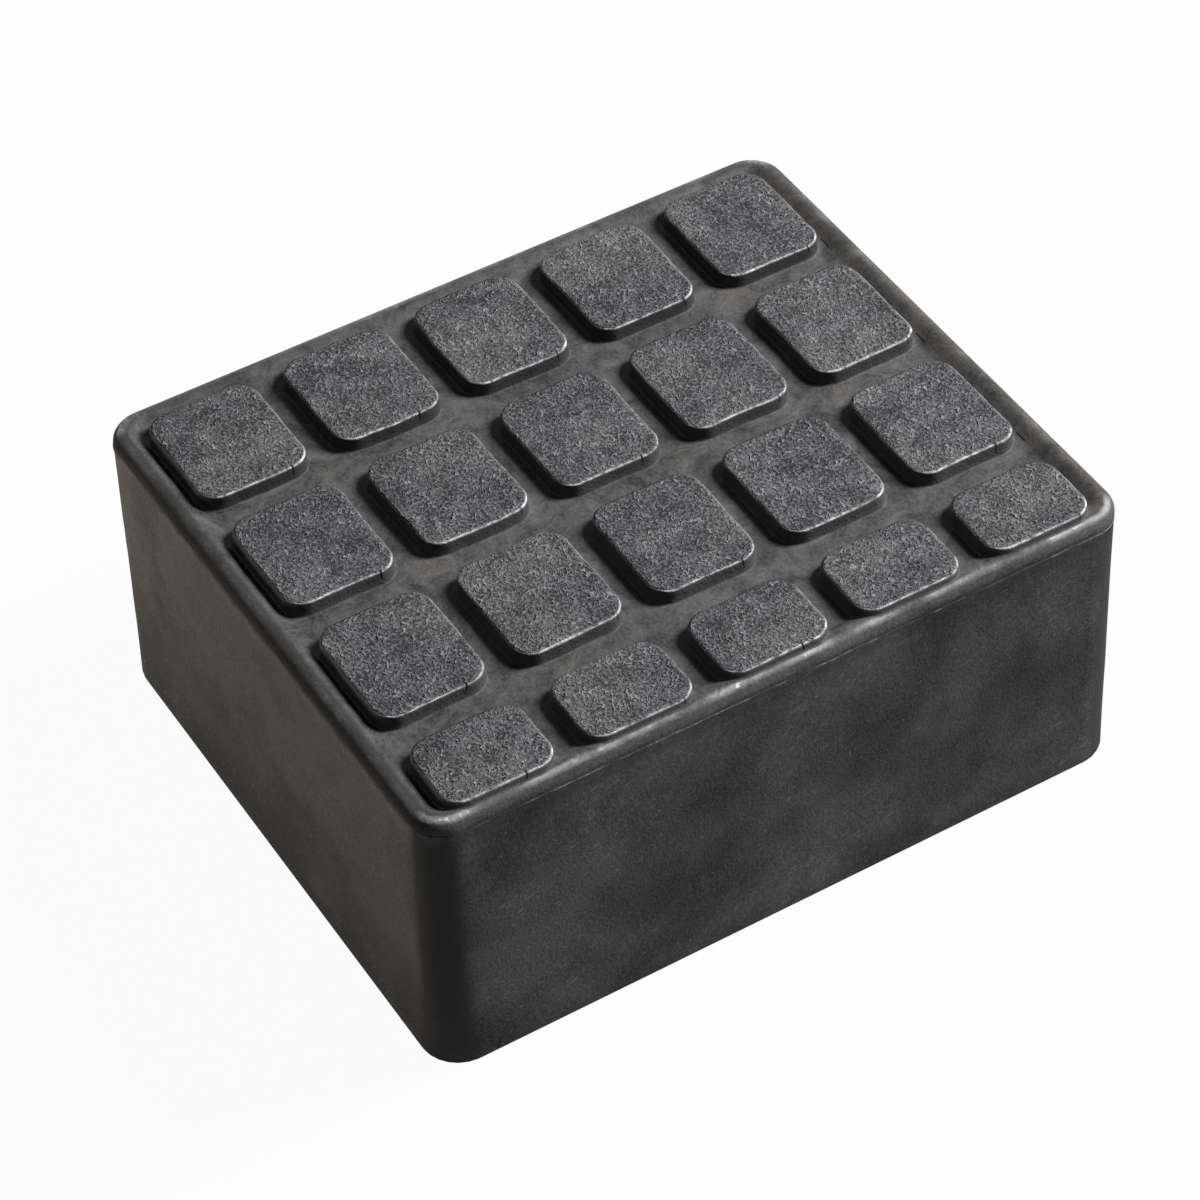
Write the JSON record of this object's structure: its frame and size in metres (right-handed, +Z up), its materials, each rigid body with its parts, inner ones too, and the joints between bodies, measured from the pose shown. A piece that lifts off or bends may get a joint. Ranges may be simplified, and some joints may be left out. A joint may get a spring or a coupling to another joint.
{
  "type": "car lift rubber pad",
  "caption": "Thick moulded rubber block with rounded edges and a field of raised square treads, laid between a vehicle lift's arm or ramp and a car's sill.",
  "frame": {"origin": "middle of the flat foot that the block stands on", "axes": "+X along the length, +Y across the width towards the back row of treads, +Z up out of the treads"},
  "size_m": [0.16, 0.134, 0.07],
  "materials": {
    "rubber": "moulded, matt on the sides, grainy and rubbed grey on the treads"
  },
  "bodies": {
    "root": {"rubber_block": "rubber"}
  },
  "joints": []
}
